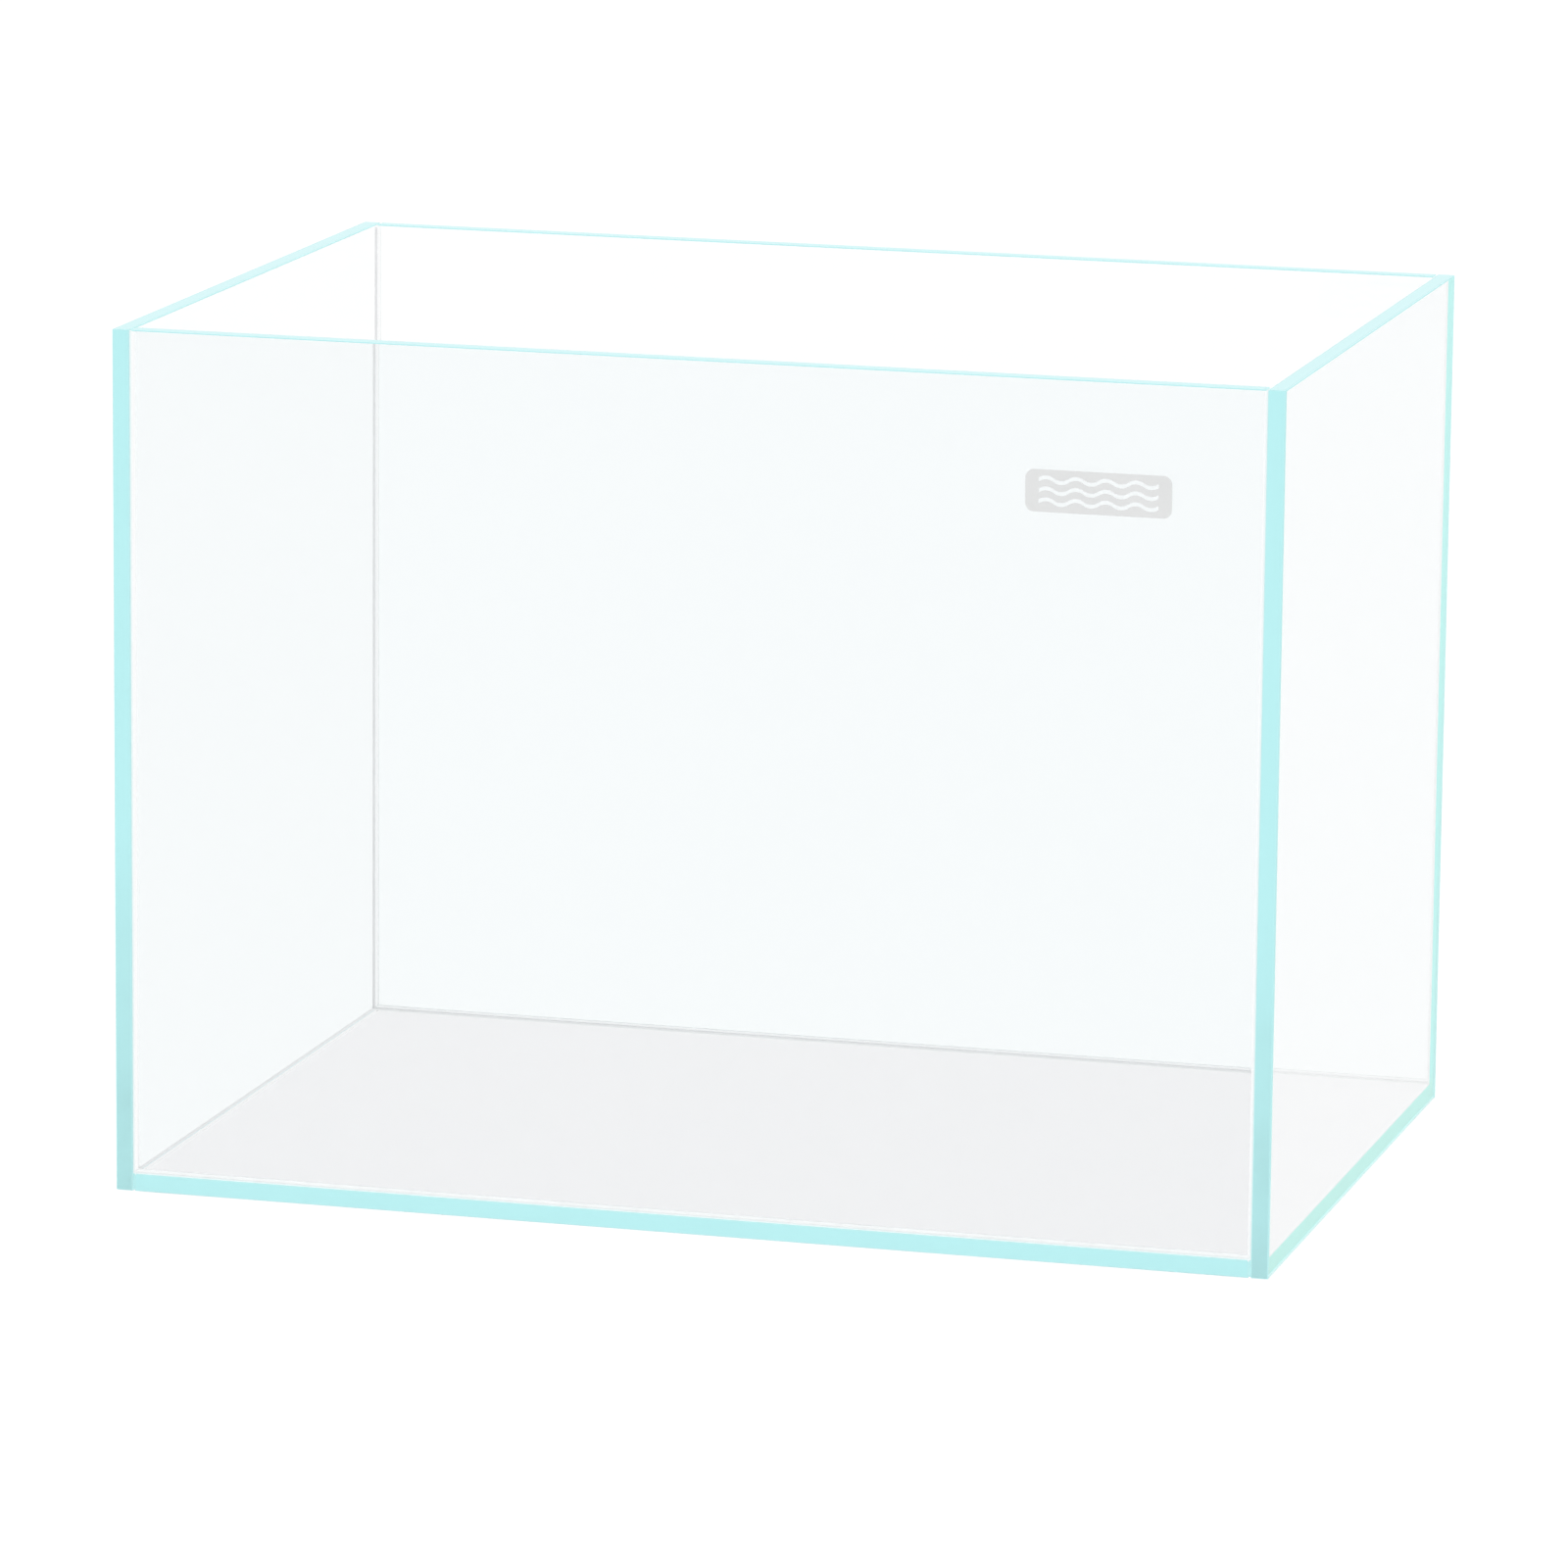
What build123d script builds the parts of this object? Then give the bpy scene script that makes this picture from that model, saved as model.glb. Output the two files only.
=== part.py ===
from build123d import *
import math
import os

# Rimless glass aquarium tank, millimetres. X runs along the width, Y from front (-) to back (+), Z up.
# The origin is the middle of the underside, on the surface that the tank stands on.
# The side panes run the whole depth and height. The base lies between them, with its polished front and
# back edges showing, and the front and back panes stand on the base, between the side panes.

# Driving dimensions
WIDTH = 400.0
DEPTH = 270.0
HEIGHT = 295.0
GLASS = 6.0
ARRIS = 0.4  # polished bevel on every edge of a pane
JOINT = 0.6  # silicone between two panes
JOINT_RECESS = 0.3  # from the glass edges to the rim of the silicone
JOINT_HOLLOW = 0.15  # how far the silicone's outer face is drawn in below that rim
SEAL_LEG = 0.8  # height and width of a tooled bead in an inside corner
SEAL_HOLLOW = 0.14  # how far a bead's face is scooped below a straight bevel
SEAL_RIM_GAP = 1.0  # from the top of an upright bead to the rim of the tank

# Front decal: a thin plate of vinyl with wave-shaped slots
DECAL_WIDTH = 49.0
DECAL_HEIGHT = 14.0
DECAL_THICKNESS = 0.1
DECAL_CORNER = 3.0
DECAL_FROM_SIDE = 37.0  # from the tank's right side to the decal
DECAL_FROM_RIM = 30.0  # from the rim down to the decal
WAVES = 3
WAVE_PITCH = 3.6
WAVE_BENDS = 8
WAVE_LENGTH = 40.0
WAVE_RISE = 0.8  # of each bend's arc
WAVE_WIDTH = 1.3

# Places that follow from them
SIDE_OUT = WIDTH / 2
SIDE_IN = SIDE_OUT - GLASS
FACE_OUT = DEPTH / 2
FACE_IN = FACE_OUT - GLASS
PANE_END = SIDE_IN - JOINT  # where the base, front and back panes end
FACE_FOOT = GLASS + JOINT  # underside of the front and back panes


def pane(width, depth, height):
    """A sheet of glass standing on Z = 0, with every edge bevelled."""
    sheet = Box(width, depth, height, align=(Align.CENTER, Align.CENTER, Align.MIN))
    return chamfer(sheet.edges(), ARRIS)


def side_pane(side):
    """side is -1 for left and 1 for right."""
    return Pos(side * (SIDE_OUT - GLASS / 2), 0, 0) * pane(GLASS, DEPTH, HEIGHT)


def face_pane(face):
    """face is -1 for the front and 1 for the back."""
    middle = face * (FACE_OUT - GLASS / 2)
    return Pos(0, middle, FACE_FOOT) * pane(2 * PANE_END, GLASS, HEIGHT - FACE_FOOT)


def joint_section(across, inner_end):
    """Section of the silicone in a joint, from its inner end at x = 0 to its hollow outer face."""
    outer = across - JOINT_RECESS
    half = JOINT / 2
    outline = [
        Line((inner_end, -half), (outer, -half)),
        ThreePointArc((outer, -half), (outer - JOINT_HOLLOW, 0), (outer, half)),
        Line((outer, half), (inner_end, half)),
        Line((inner_end, half), (inner_end, -half)),
    ]
    return make_face(outline)


def upright_joint(side, face):
    """Silicone between a side pane and the end of the front or back pane."""
    section = joint_section(FACE_OUT, FACE_IN)
    outward = Plane(
        origin=(side * (SIDE_IN - JOINT / 2), 0, GLASS),
        x_dir=(0, face, 0),
        z_dir=(0, 0, 1),
    )
    return extrude(outward * section, HEIGHT - JOINT_RECESS - GLASS, dir=(0, 0, 1))


def base_side_joint(side):
    """Silicone between a side pane and the side edge of the base."""
    long = DEPTH - 2 * JOINT_RECESS
    section = joint_section(GLASS, 0)
    downward = Plane(
        origin=(side * (SIDE_IN - JOINT / 2), -long / 2, GLASS),
        x_dir=(0, 0, -1),
        z_dir=(0, 1, 0),
    )
    return extrude(downward * section, long, dir=(0, 1, 0))


def base_face_joint(face):
    """Silicone between the base and the foot of the front or back pane."""
    section = joint_section(FACE_OUT, FACE_IN)
    outward = Plane(
        origin=(-PANE_END, 0, GLASS + JOINT / 2),
        x_dir=(0, face, 0),
        z_dir=(1, 0, 0),
    )
    return extrude(outward * section, 2 * PANE_END, dir=(1, 0, 0))


def seal_section():
    """Section of a tooled bead: the corner is at the origin, and the hollow face spans the two legs."""
    middle = SEAL_LEG / 2 - SEAL_HOLLOW * math.sqrt(0.5)
    outline = [
        Line((0, 0), (SEAL_LEG, 0)),
        ThreePointArc((SEAL_LEG, 0), (middle, middle), (0, SEAL_LEG)),
        Line((0, SEAL_LEG), (0, 0)),
    ]
    return make_face(outline)


def base_seals():
    """Beads round the floor of the tank. Those on the sides are coped to the front and back ones."""
    seals = {}
    for name, face in (("front", -1), ("back", 1)):
        corner = Plane(origin=(-SIDE_IN, face * FACE_IN, GLASS), x_dir=(0, -face, 0), z_dir=(-face, 0, 0))
        seals[name] = extrude(corner * seal_section(), 2 * SIDE_IN, dir=(1, 0, 0))
    ends = seals["front"] + seals["back"]
    for name, side in (("left", -1), ("right", 1)):
        corner = Plane(origin=(side * SIDE_IN, -FACE_IN, GLASS), x_dir=(-side, 0, 0), z_dir=(0, side, 0))
        seals[name] = extrude(corner * seal_section(), 2 * FACE_IN, dir=(0, 1, 0)) - ends
    return seals


def upright_seal(side, face, floor_seals):
    """Bead in an upright inside corner, coped to the beads round the floor."""
    corner = Plane(origin=(side * SIDE_IN, face * FACE_IN, GLASS), x_dir=(-side, 0, 0), z_dir=(0, 0, side * face))
    long = HEIGHT - SEAL_RIM_GAP - GLASS
    return extrude(corner * seal_section(), long, dir=(0, 0, 1)) - floor_seals


def wave_slot(height):
    """A wavy slot centred on the decal, at a height above its middle."""
    step = WAVE_LENGTH / WAVE_BENDS
    edges = []
    for bend in range(WAVE_BENDS):
        rise = WAVE_RISE if bend % 2 == 0 else -WAVE_RISE
        start = -WAVE_LENGTH / 2 + bend * step
        for edge in (height - WAVE_WIDTH / 2, height + WAVE_WIDTH / 2):
            crest = (start + step / 2, edge + rise)
            edges.append(ThreePointArc((start, edge), crest, (start + step, edge)))
    for end in (-WAVE_LENGTH / 2, WAVE_LENGTH / 2):
        edges.append(Line((end, height - WAVE_WIDTH / 2), (end, height + WAVE_WIDTH / 2)))
    return make_face(edges)


def decal():
    """Thin vinyl plate on the outer face of the front pane, near its top right corner."""
    plate = RectangleRounded(DECAL_WIDTH, DECAL_HEIGHT, DECAL_CORNER)
    for row in range(WAVES):
        plate -= wave_slot((row - (WAVES - 1) / 2) * WAVE_PITCH)
    across = SIDE_OUT - DECAL_FROM_SIDE - DECAL_WIDTH / 2
    up = HEIGHT - DECAL_FROM_RIM - DECAL_HEIGHT / 2
    outer_face = Plane(origin=(across, -FACE_OUT, up), x_dir=(1, 0, 0), z_dir=(0, -1, 0))
    return extrude(outer_face * plate, DECAL_THICKNESS, dir=(0, -1, 0))


def tank():
    """Every piece of the tank, by name."""
    sides = (("left", -1), ("right", 1))
    faces = (("front", -1), ("back", 1))
    pieces = {"base_pane": pane(2 * PANE_END, DEPTH, GLASS), "front_decal": decal()}
    for side_name, side in sides:
        pieces[f"{side_name}_pane"] = side_pane(side)
        pieces[f"base_{side_name}_joint"] = base_side_joint(side)
    for face_name, face in faces:
        pieces[f"{face_name}_pane"] = face_pane(face)
        pieces[f"base_{face_name}_joint"] = base_face_joint(face)
    floor_seals = base_seals()
    for name, seal in floor_seals.items():
        pieces[f"base_{name}_seal"] = seal
    for face_name, face in faces:
        for side_name, side in sides:
            pieces[f"{face_name}_{side_name}_joint"] = upright_joint(side, face)
            pieces[f"{face_name}_{side_name}_seal"] = upright_seal(side, face, list(floor_seals.values()))
    return pieces


os.makedirs("parts", exist_ok=True)
for name, piece in tank().items():
    export_step(piece, f"parts/{name}.step")
    print(f"{name:22s} {piece.volume:12.2f} mm3")
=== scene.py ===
import math

import bmesh
import bpy
from mathutils import Matrix, Vector, noise


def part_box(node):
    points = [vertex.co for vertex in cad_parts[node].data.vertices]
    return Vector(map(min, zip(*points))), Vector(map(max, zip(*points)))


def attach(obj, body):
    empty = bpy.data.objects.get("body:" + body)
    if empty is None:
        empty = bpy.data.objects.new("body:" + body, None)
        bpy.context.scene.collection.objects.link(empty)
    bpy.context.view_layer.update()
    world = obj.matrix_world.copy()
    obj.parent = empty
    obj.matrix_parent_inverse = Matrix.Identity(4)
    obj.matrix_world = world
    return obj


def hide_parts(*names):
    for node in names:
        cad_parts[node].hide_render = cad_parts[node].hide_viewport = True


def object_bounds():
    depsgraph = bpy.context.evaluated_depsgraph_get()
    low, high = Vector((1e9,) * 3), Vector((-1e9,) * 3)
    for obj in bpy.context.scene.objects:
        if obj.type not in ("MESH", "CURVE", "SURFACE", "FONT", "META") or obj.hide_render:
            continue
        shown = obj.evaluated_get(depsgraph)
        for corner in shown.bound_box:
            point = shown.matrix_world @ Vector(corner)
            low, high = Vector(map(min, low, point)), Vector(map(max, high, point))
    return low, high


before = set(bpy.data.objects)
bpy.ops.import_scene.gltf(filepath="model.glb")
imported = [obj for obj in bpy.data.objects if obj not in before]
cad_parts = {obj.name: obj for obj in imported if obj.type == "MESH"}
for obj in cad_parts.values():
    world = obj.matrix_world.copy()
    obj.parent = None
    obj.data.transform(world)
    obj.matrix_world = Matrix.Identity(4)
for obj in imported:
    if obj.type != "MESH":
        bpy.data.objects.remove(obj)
cad_low, cad_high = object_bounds()

# Lengths are in metres, angles in degrees.
MM = 0.001
ARRIS = 0.4 * MM  # bevel on every edge of a pane
ARRIS_STEPS = 3
GLASS_IOR = 1.5
SILICONE_IOR = 1.41
VINYL_IOR = 1.45
GAP = 0.03 * MM  # keeps the silicone's surfaces off the glass, so that no two faces coincide
BEAD_STATION = 4 * MM  # spacing of the cross sections along a silicone bead
BEAD_ARC_POINTS = 9
BEAD_WOBBLE = 0.08  # share of its leg that a hand-tooled bead swells and shrinks by
BEAD_WOBBLE_LENGTH = 35 * MM
BEAD_HOLLOW = 0.13  # how far the bead's face is scooped, as a share of its leg

CAMERA_AZIMUTH = 15.5
CAMERA_ELEVATION = 11.5
CAMERA_ROLL = 0.55
CAMERA_DISTANCE = 3.202
CAMERA_AIM = Vector((-3.8 * MM, 0, 126.8 * MM))
CAMERA_LENS = 213.3  # mm, on a 36 mm sensor

FLOOR_SIZE = 60.0
FLOOR_GAP = 0.2 * MM  # air under the glass
TENT_LOW = 1.00
TENT_HIGH = 1.25
MIRRORED = 0.92  # brightness of the studio in reflections, as a share of what is seen directly
PAPER_LIT = 1.09  # brightness of the white floor in this tent

FACES = ("front", "back")
SIDES = ("left", "right")
# Material slots of a pane. BOND is where silicone wets it: strips on a side pane, bevels on the other
# panes, and the front pane's foot.
FACE, EDGE, BEVEL, BOND = range(4)
HOLLOW, WALL = range(2)  # material slots of a bead: its open face, and its two sides on the glass
MILKY_CORNERS = ("base_left", "base_back", "back_left")  # where the bead shows as a pale grey line
CYAN_JOINTS = ("base_left", "base_right")  # beside the long tinted ends of the base

EDGE_TONE = (0.440, 0.800, 0.815)
# Painted shade: the side panes' upright edges are darker towards their foot.
EDGE_TONE_SHADED_AT_FOOT = (0.355, 0.640, 0.650)
EDGE_SHADE_FADE_LOW = 0.02  # the foot's tone gives way to the other between these shares of the tank's height
EDGE_SHADE_FADE_HIGH = 0.42
EDGE_CLOUD = 1.05  # brightness of the lighter clouds in an edge, against the rest of it
TINT_SPREAD = 0.004  # how far the tint of a face wanders
BOND_FADE = 4 * MM  # height over which the bonded strip turns from green to cyan, above the base
# Painted shade: wetted bevels are greyer just above the base, where the panes meet it.
SEAT_FADE = 1 * MM  # height over which wetted bevels turn from grey to pale, above the lowest ones
NOISE_LOW = 0.3  # nearly all values of a noise texture lie between these two
NOISE_HIGH = 0.7
CLEAR = (1, 1, 1)
LIGHT_BOUNCES = 24  # enough for the stack of panes in any view


# ---------------------------------------------------------------- material nodes

def map_range(tree, output, from_low, from_high, to_low, to_high):
    made = tree.nodes.new("ShaderNodeMapRange")
    values = {"From Min": from_low, "From Max": from_high, "To Min": to_low, "To Max": to_high}
    for name, value in values.items():
        made.inputs[name].default_value = value
    tree.links.new(output, made.inputs["Value"])
    return made.outputs["Result"]


def calculate(tree, operation, first, second):
    made = tree.nodes.new("ShaderNodeMath")
    made.operation = operation
    tree.links.new(first, made.inputs[0])
    tree.links.new(second, made.inputs[1])
    return made.outputs["Value"]


def mirror_ray(tree):
    """1 for a ray that a mirror-like reflection sends out, 0 for every other ray."""
    path = tree.nodes.new("ShaderNodeLightPath")
    return calculate(tree, "SUBTRACT", path.outputs["Is Reflection Ray"], path.outputs["Is Diffuse Ray"])


class Shader:
    """A material with one Principled node, and short calls for the nodes that feed it."""

    def __init__(self, name, **plain):
        self.material = bpy.data.materials.new(name)
        self.material.use_nodes = True
        self.tree = self.material.node_tree
        self.principled = self.tree.nodes["Principled BSDF"]
        for socket, value in plain.items():
            self.principled.inputs[socket.replace("_", " ")].default_value = value

    def node(self, kind, **values):
        made = self.tree.nodes.new(kind)
        for name, value in values.items():
            setattr(made, name, value)
        return made

    def link(self, output, target):
        self.tree.links.new(output, target)

    def feed(self, output, socket):
        self.link(output, self.principled.inputs[socket])

    def place(self):
        """The object's own coordinates, in metres."""
        return self.node("ShaderNodeTexCoord").outputs["Object"]

    def noise(self, scale, detail):
        made = self.node("ShaderNodeTexNoise")
        made.inputs["Scale"].default_value = scale
        made.inputs["Detail"].default_value = detail
        self.link(self.place(), made.inputs["Vector"])
        return made.outputs["Fac"]

    def spread(self, scale, detail, low, high):
        """Noise that runs from low to high."""
        return map_range(self.tree, self.noise(scale, detail), NOISE_LOW, NOISE_HIGH, low, high)

    def height(self, low, high):
        """0 at low and 1 at high, along Z."""
        parts = self.node("ShaderNodeSeparateXYZ")
        self.link(self.place(), parts.inputs["Vector"])
        return map_range(self.tree, parts.outputs["Z"], low, high, 0.0, 1.0)

    def mix(self, factor, first, second):
        """Blend of two colours, each an output or three numbers."""
        made = self.node("ShaderNodeMix", data_type="RGBA")
        self.link(factor, made.inputs["Factor"])
        for socket, colour in ((made.inputs[6], first), (made.inputs[7], second)):
            if isinstance(colour, tuple):
                socket.default_value = (*colour, 1)
            else:
                self.link(colour, socket)
        return made.outputs[2]

    def two_sided(self, outside, inside):
        """One colour on the outer side of the surface and one on the side that is seen through the glass."""
        return self.mix(self.node("ShaderNodeNewGeometry").outputs["Backfacing"], outside, inside)

    def bump(self, output, distance, strength):
        made = self.node("ShaderNodeBump")
        made.inputs["Distance"].default_value = distance
        made.inputs["Strength"].default_value = strength
        self.link(output, made.inputs["Height"])
        self.feed(made.outputs["Normal"], "Normal")

    def blend(self, share, first, second):
        """The first shader where the share is 0, and the second where it is 1."""
        made = self.node("ShaderNodeMixShader")
        for socket, output in zip(made.inputs, (share, first, second)):
            self.link(output, socket)
        return made.outputs[0]

    def show(self, output):
        self.link(output, self.tree.nodes["Material Output"].inputs["Surface"])

    def light_passes(self, tint=CLEAR):
        """Lets rays through that light or mirror in other surfaces, which then show no trace of this one
        unless a tint dims the light and shadow rays.
        """
        shown = self.principled.outputs[0]
        path = self.node("ShaderNodeLightPath")
        passing = {"Is Reflection Ray": CLEAR, "Is Diffuse Ray": tint, "Is Shadow Ray": tint}
        for kind, colour in passing.items():
            through = self.node("ShaderNodeBsdfTransparent")
            through.inputs["Color"].default_value = (*colour, 1)
            shown = self.blend(path.outputs[kind], shown, through.outputs[0])
        self.show(shown)


def glass_face_material(name, tint, passing=CLEAR):
    """Low-iron float glass: almost colourless, and very slightly uneven in tint."""
    shader = Shader(name, Transmission_Weight=1.0, IOR=GLASS_IOR, Roughness=0.0)
    deeper = tuple(channel - TINT_SPREAD for channel in tint)
    shader.feed(shader.mix(shader.noise(6.0, 2.0), tint, deeper), "Base Color")
    shader.light_passes(passing)
    return shader.material


def glass_edge_material(kind, foot, inside):
    """A flat-polished edge, which gathers the pane's tint into a pale cyan, darkened by painted shade towards
    the foot where its foot tone is darker.
    """
    shader = Shader(f"{kind}_edge", IOR=GLASS_IOR)
    # Painted shade: the edge blends from the darker foot tone at the bottom to EDGE_TONE higher up.
    rise = shader.height(EDGE_SHADE_FADE_LOW * cad_high.z, EDGE_SHADE_FADE_HIGH * cad_high.z)
    tone = shader.mix(rise, foot, EDGE_TONE)
    lighter = tuple(EDGE_CLOUD * channel for channel in EDGE_TONE)
    cloud = shader.spread(40.0, 3.0, 0.0, 0.4)
    shader.feed(shader.two_sided(shader.mix(cloud, tone, lighter), inside), "Base Color")
    shader.feed(shader.spread(700.0, 2.0, 0.06, 0.14), "Roughness")
    shader.bump(shader.noise(1500.0, 2.0), 0.01 * MM, 0.2)
    shader.light_passes()
    return shader.material


def arris_material(kind, inside):
    """The fine-ground bevel along each edge, a little greyer than the polished edge."""
    shader = Shader(f"{kind}_arris", IOR=GLASS_IOR)
    ground = shader.mix(shader.noise(900.0, 3.0), (0.43, 0.76, 0.77), (0.49, 0.82, 0.83))
    shader.feed(shader.two_sided(ground, inside), "Base Color")
    shader.feed(shader.spread(2500.0, 2.0, 0.25, 0.45), "Roughness")
    shader.bump(shader.noise(4000.0, 2.0), 0.02 * MM, 0.3)
    shader.light_passes()
    return shader.material


def seated_arris_material():
    """Ground glass wetted by clear silicone, which hides its finish. Painted shade makes it greyer next to
    the base.
    """
    shader = Shader("seated_arris", IOR=GLASS_IOR, Roughness=0.3)
    foot_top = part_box("front_pane")[0].z + ARRIS
    rise = shader.height(foot_top, foot_top + SEAT_FADE)
    # Painted shade: grey at the lowest wetted bevels, pale above them.
    tone = shader.mix(rise, (0.81, 0.83, 0.835), (0.885, 0.905, 0.91))
    cloud = shader.spread(60.0, 3.0, 0.0, 0.4)
    shader.feed(shader.mix(cloud, tone, (0.91, 0.93, 0.935)), "Base Color")
    shader.light_passes()
    return shader.material


def bond_material():
    """Where silicone wets a side pane, the tinted end of the next pane shows, greenest at the base."""
    shader = Shader("bonded_glass", IOR=GLASS_IOR, Roughness=0.3)
    base_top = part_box("base_pane")[1].z
    rise = shader.height(base_top, base_top + BOND_FADE)
    tone = shader.mix(rise, (0.30, 0.775, 0.685), (0.26, 0.81, 0.76))
    cloud = shader.spread(25.0, 3.0, 0.0, 0.3)
    shader.feed(shader.mix(cloud, tone, (0.35, 0.85, 0.79)), "Base Color")
    shader.light_passes()
    return shader.material


def silicone_material(name, low, high):
    """Silicone in a tone between low and high, with the soft ripple that tooling leaves."""
    shader = Shader(name, IOR=SILICONE_IOR, Roughness=0.35)
    shader.feed(shader.mix(shader.noise(120.0, 3.0), low, high), "Base Color")
    shader.bump(shader.noise(350.0, 2.0), 0.05 * MM, 0.4)
    shader.light_passes()
    return shader.material


def decal_material():
    """Pale grey vinyl film with the fine orange-peel of its matt laminate."""
    shader = Shader("decal_vinyl", IOR=VINYL_IOR)
    shader.feed(shader.mix(shader.noise(60.0, 3.0), (0.67, 0.68, 0.68), (0.72, 0.725, 0.725)), "Base Color")
    shader.feed(shader.spread(1800.0, 2.0, 0.4, 0.55), "Roughness")
    shader.bump(shader.noise(2500.0, 2.0), 0.01 * MM, 0.3)
    return shader.material


def floor_material():
    """Matt white paper, which shows no shadow in reflections."""
    shader = Shader("studio_floor", Roughness=0.9, Specular_IOR_Level=0.2)
    paper = shader.mix(shader.noise(2.0, 2.0), (0.925, 0.925, 0.925), (0.935, 0.935, 0.935))
    shader.feed(paper, "Base Color")
    mirrored = shader.node("ShaderNodeEmission")
    mirrored.inputs["Strength"].default_value = PAPER_LIT * MIRRORED
    shader.show(shader.blend(mirror_ray(shader.tree), shader.principled.outputs[0], mirrored.outputs[0]))
    return shader.material


# ---------------------------------------------------------------- pieces

def piece(name, mesh, materials, replaced):
    """A Blender piece that stands for one CAD node."""
    made = bpy.data.objects.new(name, mesh)
    bpy.context.scene.collection.objects.link(made)
    for material in materials:
        mesh.materials.append(material)
    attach(made, "root")
    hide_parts(replaced)
    return made


def mesh_from(shape, name):
    mesh = bpy.data.meshes.new(name)
    shape.to_mesh(mesh)
    shape.free()
    return mesh


def pane_shape(low, high):
    """A bevelled sheet of glass, with its two faces, its edges and its bevels in their own slots."""
    size = high - low
    thin = min(range(3), key=lambda axis: size[axis])
    shape = bmesh.new()
    bmesh.ops.create_cube(shape, size=1.0, matrix=Matrix.LocRotScale((low + high) / 2, None, size))
    for face in shape.faces:
        face.material_index = FACE if abs(face.normal[thin]) > 0.5 else EDGE
    bmesh.ops.bevel(
        shape,
        geom=shape.edges[:],
        offset=ARRIS,
        segments=ARRIS_STEPS,
        profile=0.5,
        affect="EDGES",
        material=BEVEL,
    )
    return shape


def mark_bonds(shape, side):
    """Gives a side pane's inner face bonded strips along the base, the front pane and the back pane."""
    base_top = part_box("base_pane")[1].z
    face_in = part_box("back_pane")[0].y
    cuts = [
        ((0, 0, base_top), (0, 0, 1)),
        ((0, face_in, 0), (0, 1, 0)),
        ((0, -face_in, 0), (0, 1, 0)),
    ]
    for point, normal in cuts:
        everything = shape.verts[:] + shape.edges[:] + shape.faces[:]
        bmesh.ops.bisect_plane(shape, geom=everything, plane_co=point, plane_no=normal)
    inward = 1 if side == "left" else -1
    for face in shape.faces:
        middle = face.calc_center_median()
        bonded = middle.z < base_top or abs(middle.y) > face_in
        if face.material_index == FACE and face.normal.x * inward > 0.5 and bonded:
            face.material_index = BOND


def mark_seats(shape, name, low, high):
    """Marks what silicone wets: the ends of a face pane or the base, and the foot of a face pane.

    Wetted edges are as clear as a face, apart from the front pane's foot. Wetted bevels are pale, apart from
    the upper ones of a face pane and the lower ones of the base, which stay dry.
    """
    for face in shape.faces:
        middle = face.calc_center_median()
        at_foot = name in FACES and middle.z < low.z + ARRIS
        at_top = middle.z > high.z - ARRIS
        if not at_foot and abs(middle.x) <= high.x - ARRIS:
            continue
        if face.material_index == EDGE:
            face.material_index = BOND if name == "front" and at_foot else FACE
        elif face.material_index == BEVEL and at_top == (name == "base"):
            face.material_index = BOND


def pane_piece(name, materials):
    node = f"{name}_pane"
    low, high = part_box(node)
    shape = pane_shape(low, high)
    if name in SIDES:
        mark_bonds(shape, name)
    else:
        mark_seats(shape, name, low, high)
    return piece(f"{node}_glass", mesh_from(shape, f"{node}_glass"), materials, node)


def joint_piece(node, material):
    """The silicone in a joint, with the CAD node's shape, drawn in a hair from the glass on every side."""
    low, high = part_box(node)
    size, middle = high - low, (low + high) / 2
    shrink = Matrix.Diagonal([(length - 2 * GAP) / length for length in size]).to_4x4()
    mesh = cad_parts[node].data.copy()
    mesh.name = f"{node}_fill"
    mesh.materials.clear()
    mesh.transform(Matrix.Translation(middle) @ shrink @ Matrix.Translation(-middle))
    return piece(f"{node}_fill", mesh, (material,), node)


def bead_section(leg):
    """Points of a bead's section as distances from its two walls: the corner, then the hollow face."""
    chord = Vector((-leg, leg))
    points = [Vector((0, 0))]
    for step in range(BEAD_ARC_POINTS):
        along = step / (BEAD_ARC_POINTS - 1)
        sag = 4 * along * (1 - along) * BEAD_HOLLOW * leg
        points.append(Vector((leg, 0)) + chord * along - Vector((sag, sag)))
    return points


def bead_piece(node, materials, seed):
    """A tooled silicone bead in the corner that its CAD node fills, swelling and shrinking a little.

    The materials are those of its hollow face and of its sides on the glass.
    """
    low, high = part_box(node)
    size = high - low
    run = max(range(3), key=lambda axis: size[axis])
    walls = [axis for axis in range(3) if axis != run]
    middle = (cad_low + cad_high) / 2
    inward = [1 if (low[axis] + high[axis]) / 2 < middle[axis] else -1 for axis in walls]
    corner = [low[axis] + GAP if way > 0 else high[axis] - GAP for axis, way in zip(walls, inward)]
    section = bead_section(size[walls[0]] - 2 * GAP)
    stations = max(2, round(size[run] / BEAD_STATION))
    shape = bmesh.new()
    rings = []
    for station in range(stations + 1):
        along = low[run] + size[run] * station / stations
        swell = 1 - BEAD_WOBBLE * (0.5 + 0.5 * noise.noise(Vector((along / BEAD_WOBBLE_LENGTH, seed, 0))))
        ring = []
        for point in section:
            place = Vector((0, 0, 0))
            place[run] = along
            for axis, way, start, reach in zip(walls, inward, corner, point):
                place[axis] = start + way * reach * swell
            ring.append(shape.verts.new(place))
        rings.append(ring)
    count = len(section)
    for first, second in zip(rings, rings[1:]):
        for index in range(count):
            after = (index + 1) % count
            face = shape.faces.new((first[index], first[after], second[after], second[index]))
            face.material_index = HOLLOW if 0 < index < count - 1 else WALL
    shape.faces.new(rings[0])
    shape.faces.new(rings[-1])
    bmesh.ops.recalc_face_normals(shape, faces=shape.faces[:])
    return piece(f"{node}_bead", mesh_from(shape, f"{node}_bead"), materials, node)


def dress_cad_node(node, material):
    """Gives a CAD node that keeps its shape its own material."""
    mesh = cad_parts[node].data
    mesh.materials.clear()
    mesh.materials.append(material)


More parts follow.
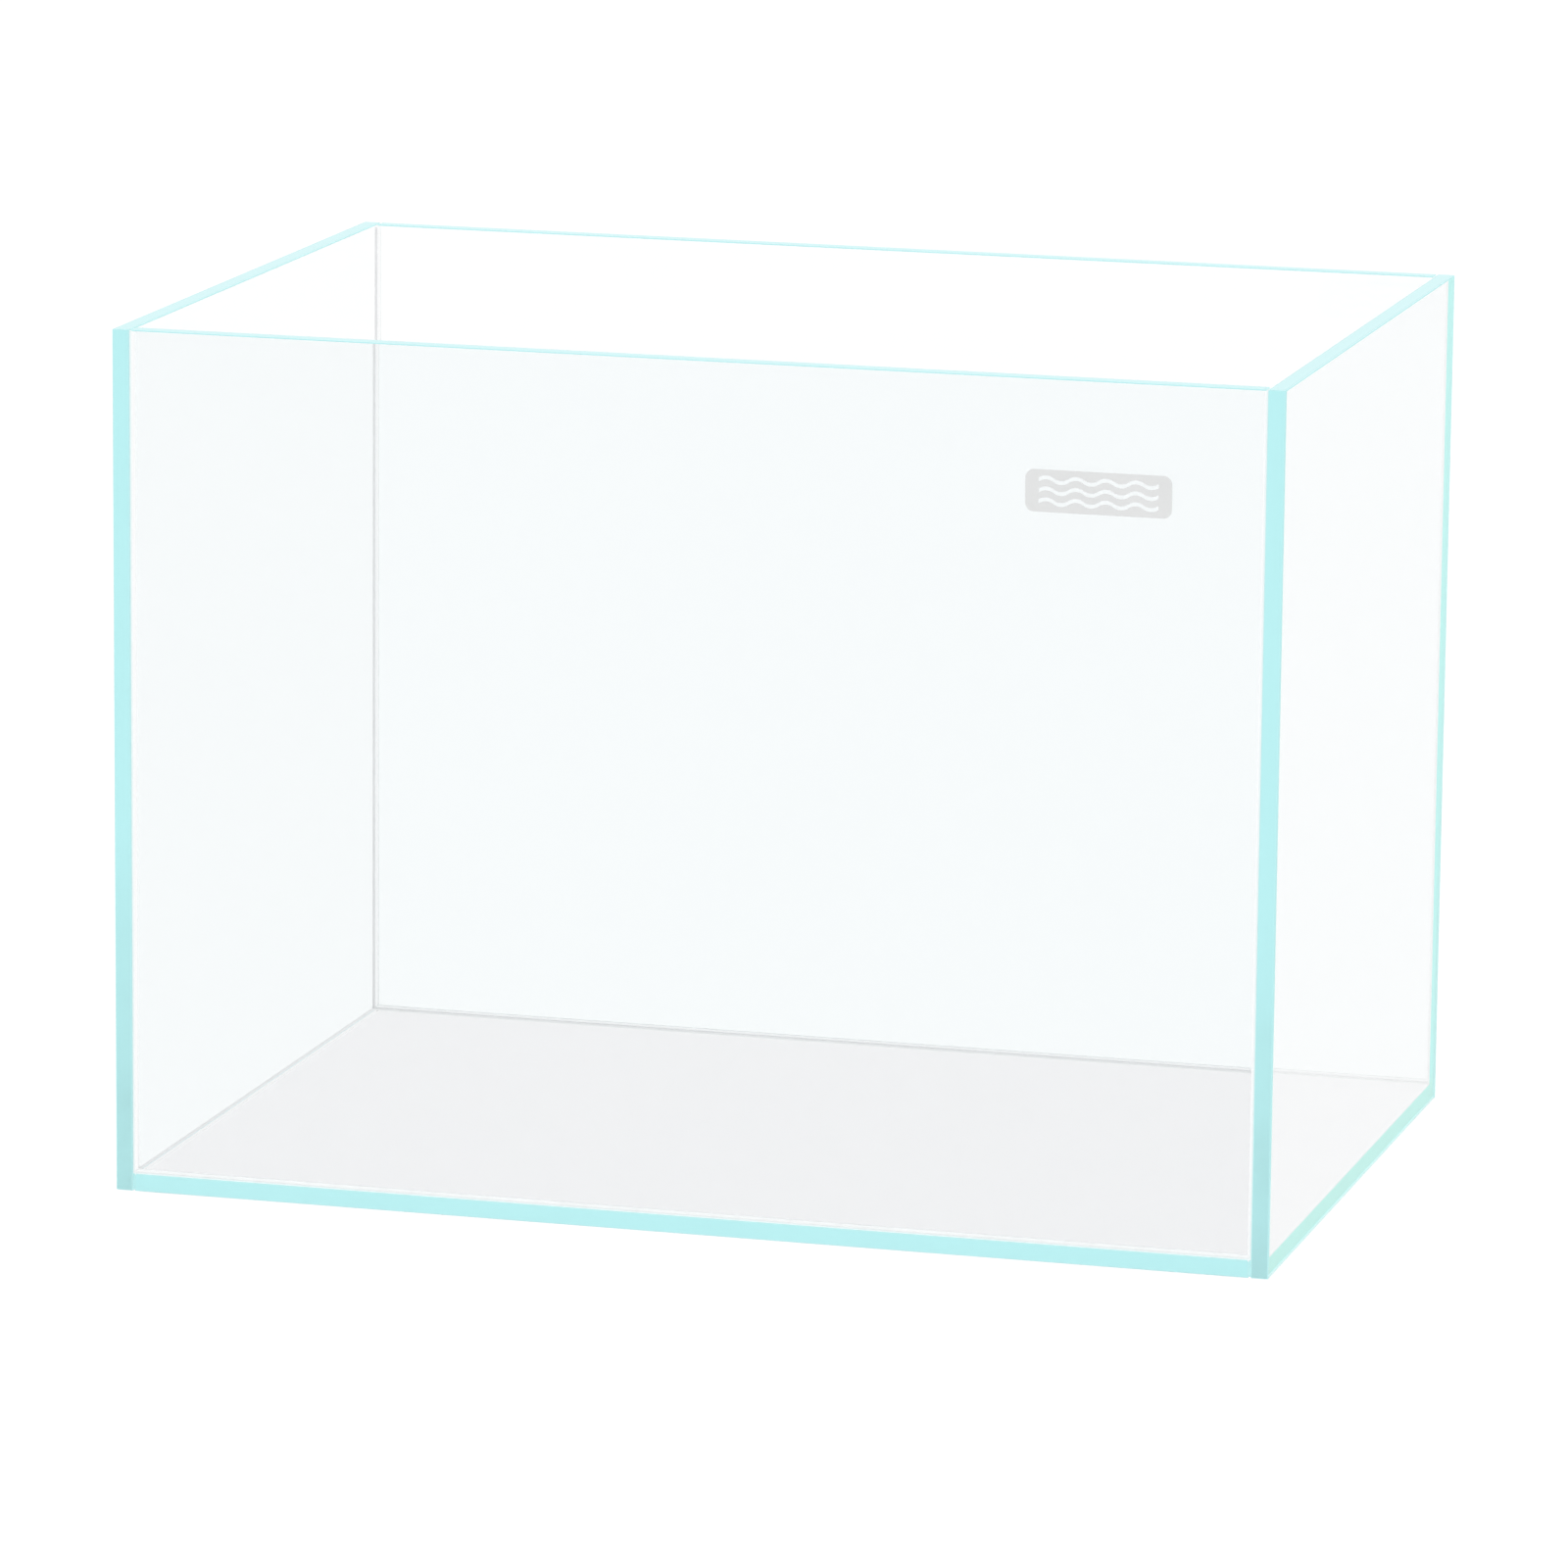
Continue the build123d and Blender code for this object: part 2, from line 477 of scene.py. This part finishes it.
def build_panes():
    wall = glass_face_material("low_iron_glass", (0.931, 0.949, 0.953))
    # Painted shadow: the base is tinted greyer than the walls and dims light and shadow rays, so the floor
    # seen through it is darker; a little of the tint is the glass's own.
    floor = glass_face_material("base_glass", (0.895, 0.890, 0.900), (0.95, 0.945, 0.948))
    bonded = bond_material()
    seated = seated_arris_material()
    kinds = {
        # Only the side panes' edges get the painted shade at the foot; the other panes keep EDGE_TONE there.
        "side_pane": (SIDES, wall, bonded, EDGE_TONE_SHADED_AT_FOOT, (0.30, 0.84, 0.80)),
        "face_pane": (FACES, wall, seated, EDGE_TONE, (0.92, 0.94, 0.94)),
        "base_pane": (("base",), floor, seated, EDGE_TONE, (0.92, 0.92, 0.92)),
    }
    for kind, (names, face, bond, foot, inside) in kinds.items():
        edge = glass_edge_material(kind, foot, inside)
        arris = arris_material(kind, inside)
        for name in names:
            pane_piece(name, (face, edge, arris, bond))


def build_silicone():
    fill = silicone_material("silicone_fill", (0.76, 0.85, 0.855), (0.80, 0.88, 0.885))
    clear = silicone_material("clear_silicone", (0.80, 0.82, 0.825), (0.84, 0.855, 0.86))
    pale = silicone_material("pale_silicone", (0.89, 0.915, 0.92), (0.925, 0.94, 0.945))
    milky = silicone_material("milky_silicone", (0.70, 0.71, 0.715), (0.74, 0.75, 0.755))
    cyan = silicone_material("cyan_lit_silicone", (0.42, 0.78, 0.79), (0.46, 0.82, 0.83))
    corners = [f"base_{name}" for name in FACES + SIDES]
    corners += [f"{face}_{side}" for face in FACES for side in SIDES]
    for seed, corner in enumerate(corners):
        is_milky = corner in MILKY_CORNERS
        bead_piece(f"{corner}_seal", (milky, pale) if is_milky else (clear, clear), seed)
        beside_panes = pale if is_milky else fill
        joint_piece(f"{corner}_joint", cyan if corner in CYAN_JOINTS else beside_panes)


# ---------------------------------------------------------------- studio

def build_floor():
    bpy.ops.mesh.primitive_plane_add(size=FLOOR_SIZE, location=(0, 0, cad_low.z - FLOOR_GAP))
    floor = bpy.context.object
    floor.name = "studio_floor"
    floor.data.materials.append(floor_material())


def build_world():
    """An even white light tent, a little brighter overhead."""
    world = bpy.data.worlds.new("light_tent")
    bpy.context.scene.world = world
    world.use_nodes = True
    tree = world.node_tree
    parts = tree.nodes.new("ShaderNodeSeparateXYZ")
    tree.links.new(tree.nodes.new("ShaderNodeTexCoord").outputs["Generated"], parts.inputs["Vector"])
    brightness = map_range(tree, parts.outputs["Z"], 0.0, 1.0, TENT_LOW, TENT_HIGH)
    dimming = map_range(tree, mirror_ray(tree), 0.0, 1.0, 1.0, MIRRORED)
    strength = calculate(tree, "MULTIPLY", brightness, dimming)
    tree.links.new(strength, tree.nodes["Background"].inputs["Strength"])
    tree.nodes["Background"].inputs["Color"].default_value = (1, 1, 1, 1)


def build_camera():
    azimuth, elevation = math.radians(CAMERA_AZIMUTH), math.radians(CAMERA_ELEVATION)
    back = Vector((
        math.sin(azimuth) * math.cos(elevation),
        -math.cos(azimuth) * math.cos(elevation),
        math.sin(elevation),
    ))
    camera = bpy.data.objects.new("camera", bpy.data.cameras.new("camera"))
    bpy.context.scene.collection.objects.link(camera)
    camera.data.lens = CAMERA_LENS
    camera.data.clip_end = 2 * FLOOR_SIZE
    turn = (-back).to_track_quat("-Z", "Y").to_matrix().to_4x4()
    roll = Matrix.Rotation(math.radians(CAMERA_ROLL), 4, "Z")
    camera.matrix_world = Matrix.Translation(CAMERA_AIM + back * CAMERA_DISTANCE) @ turn @ roll
    bpy.context.scene.camera = camera


def main():
    build_camera()
    build_floor()
    build_world()
    build_panes()
    build_silicone()
    dress_cad_node("front_decal", decal_material())
    bpy.context.scene.view_settings.view_transform = "Standard"
    bpy.context.scene.cycles.max_bounces = LIGHT_BOUNCES
    bpy.context.scene.cycles.transmission_bounces = LIGHT_BOUNCES


main()
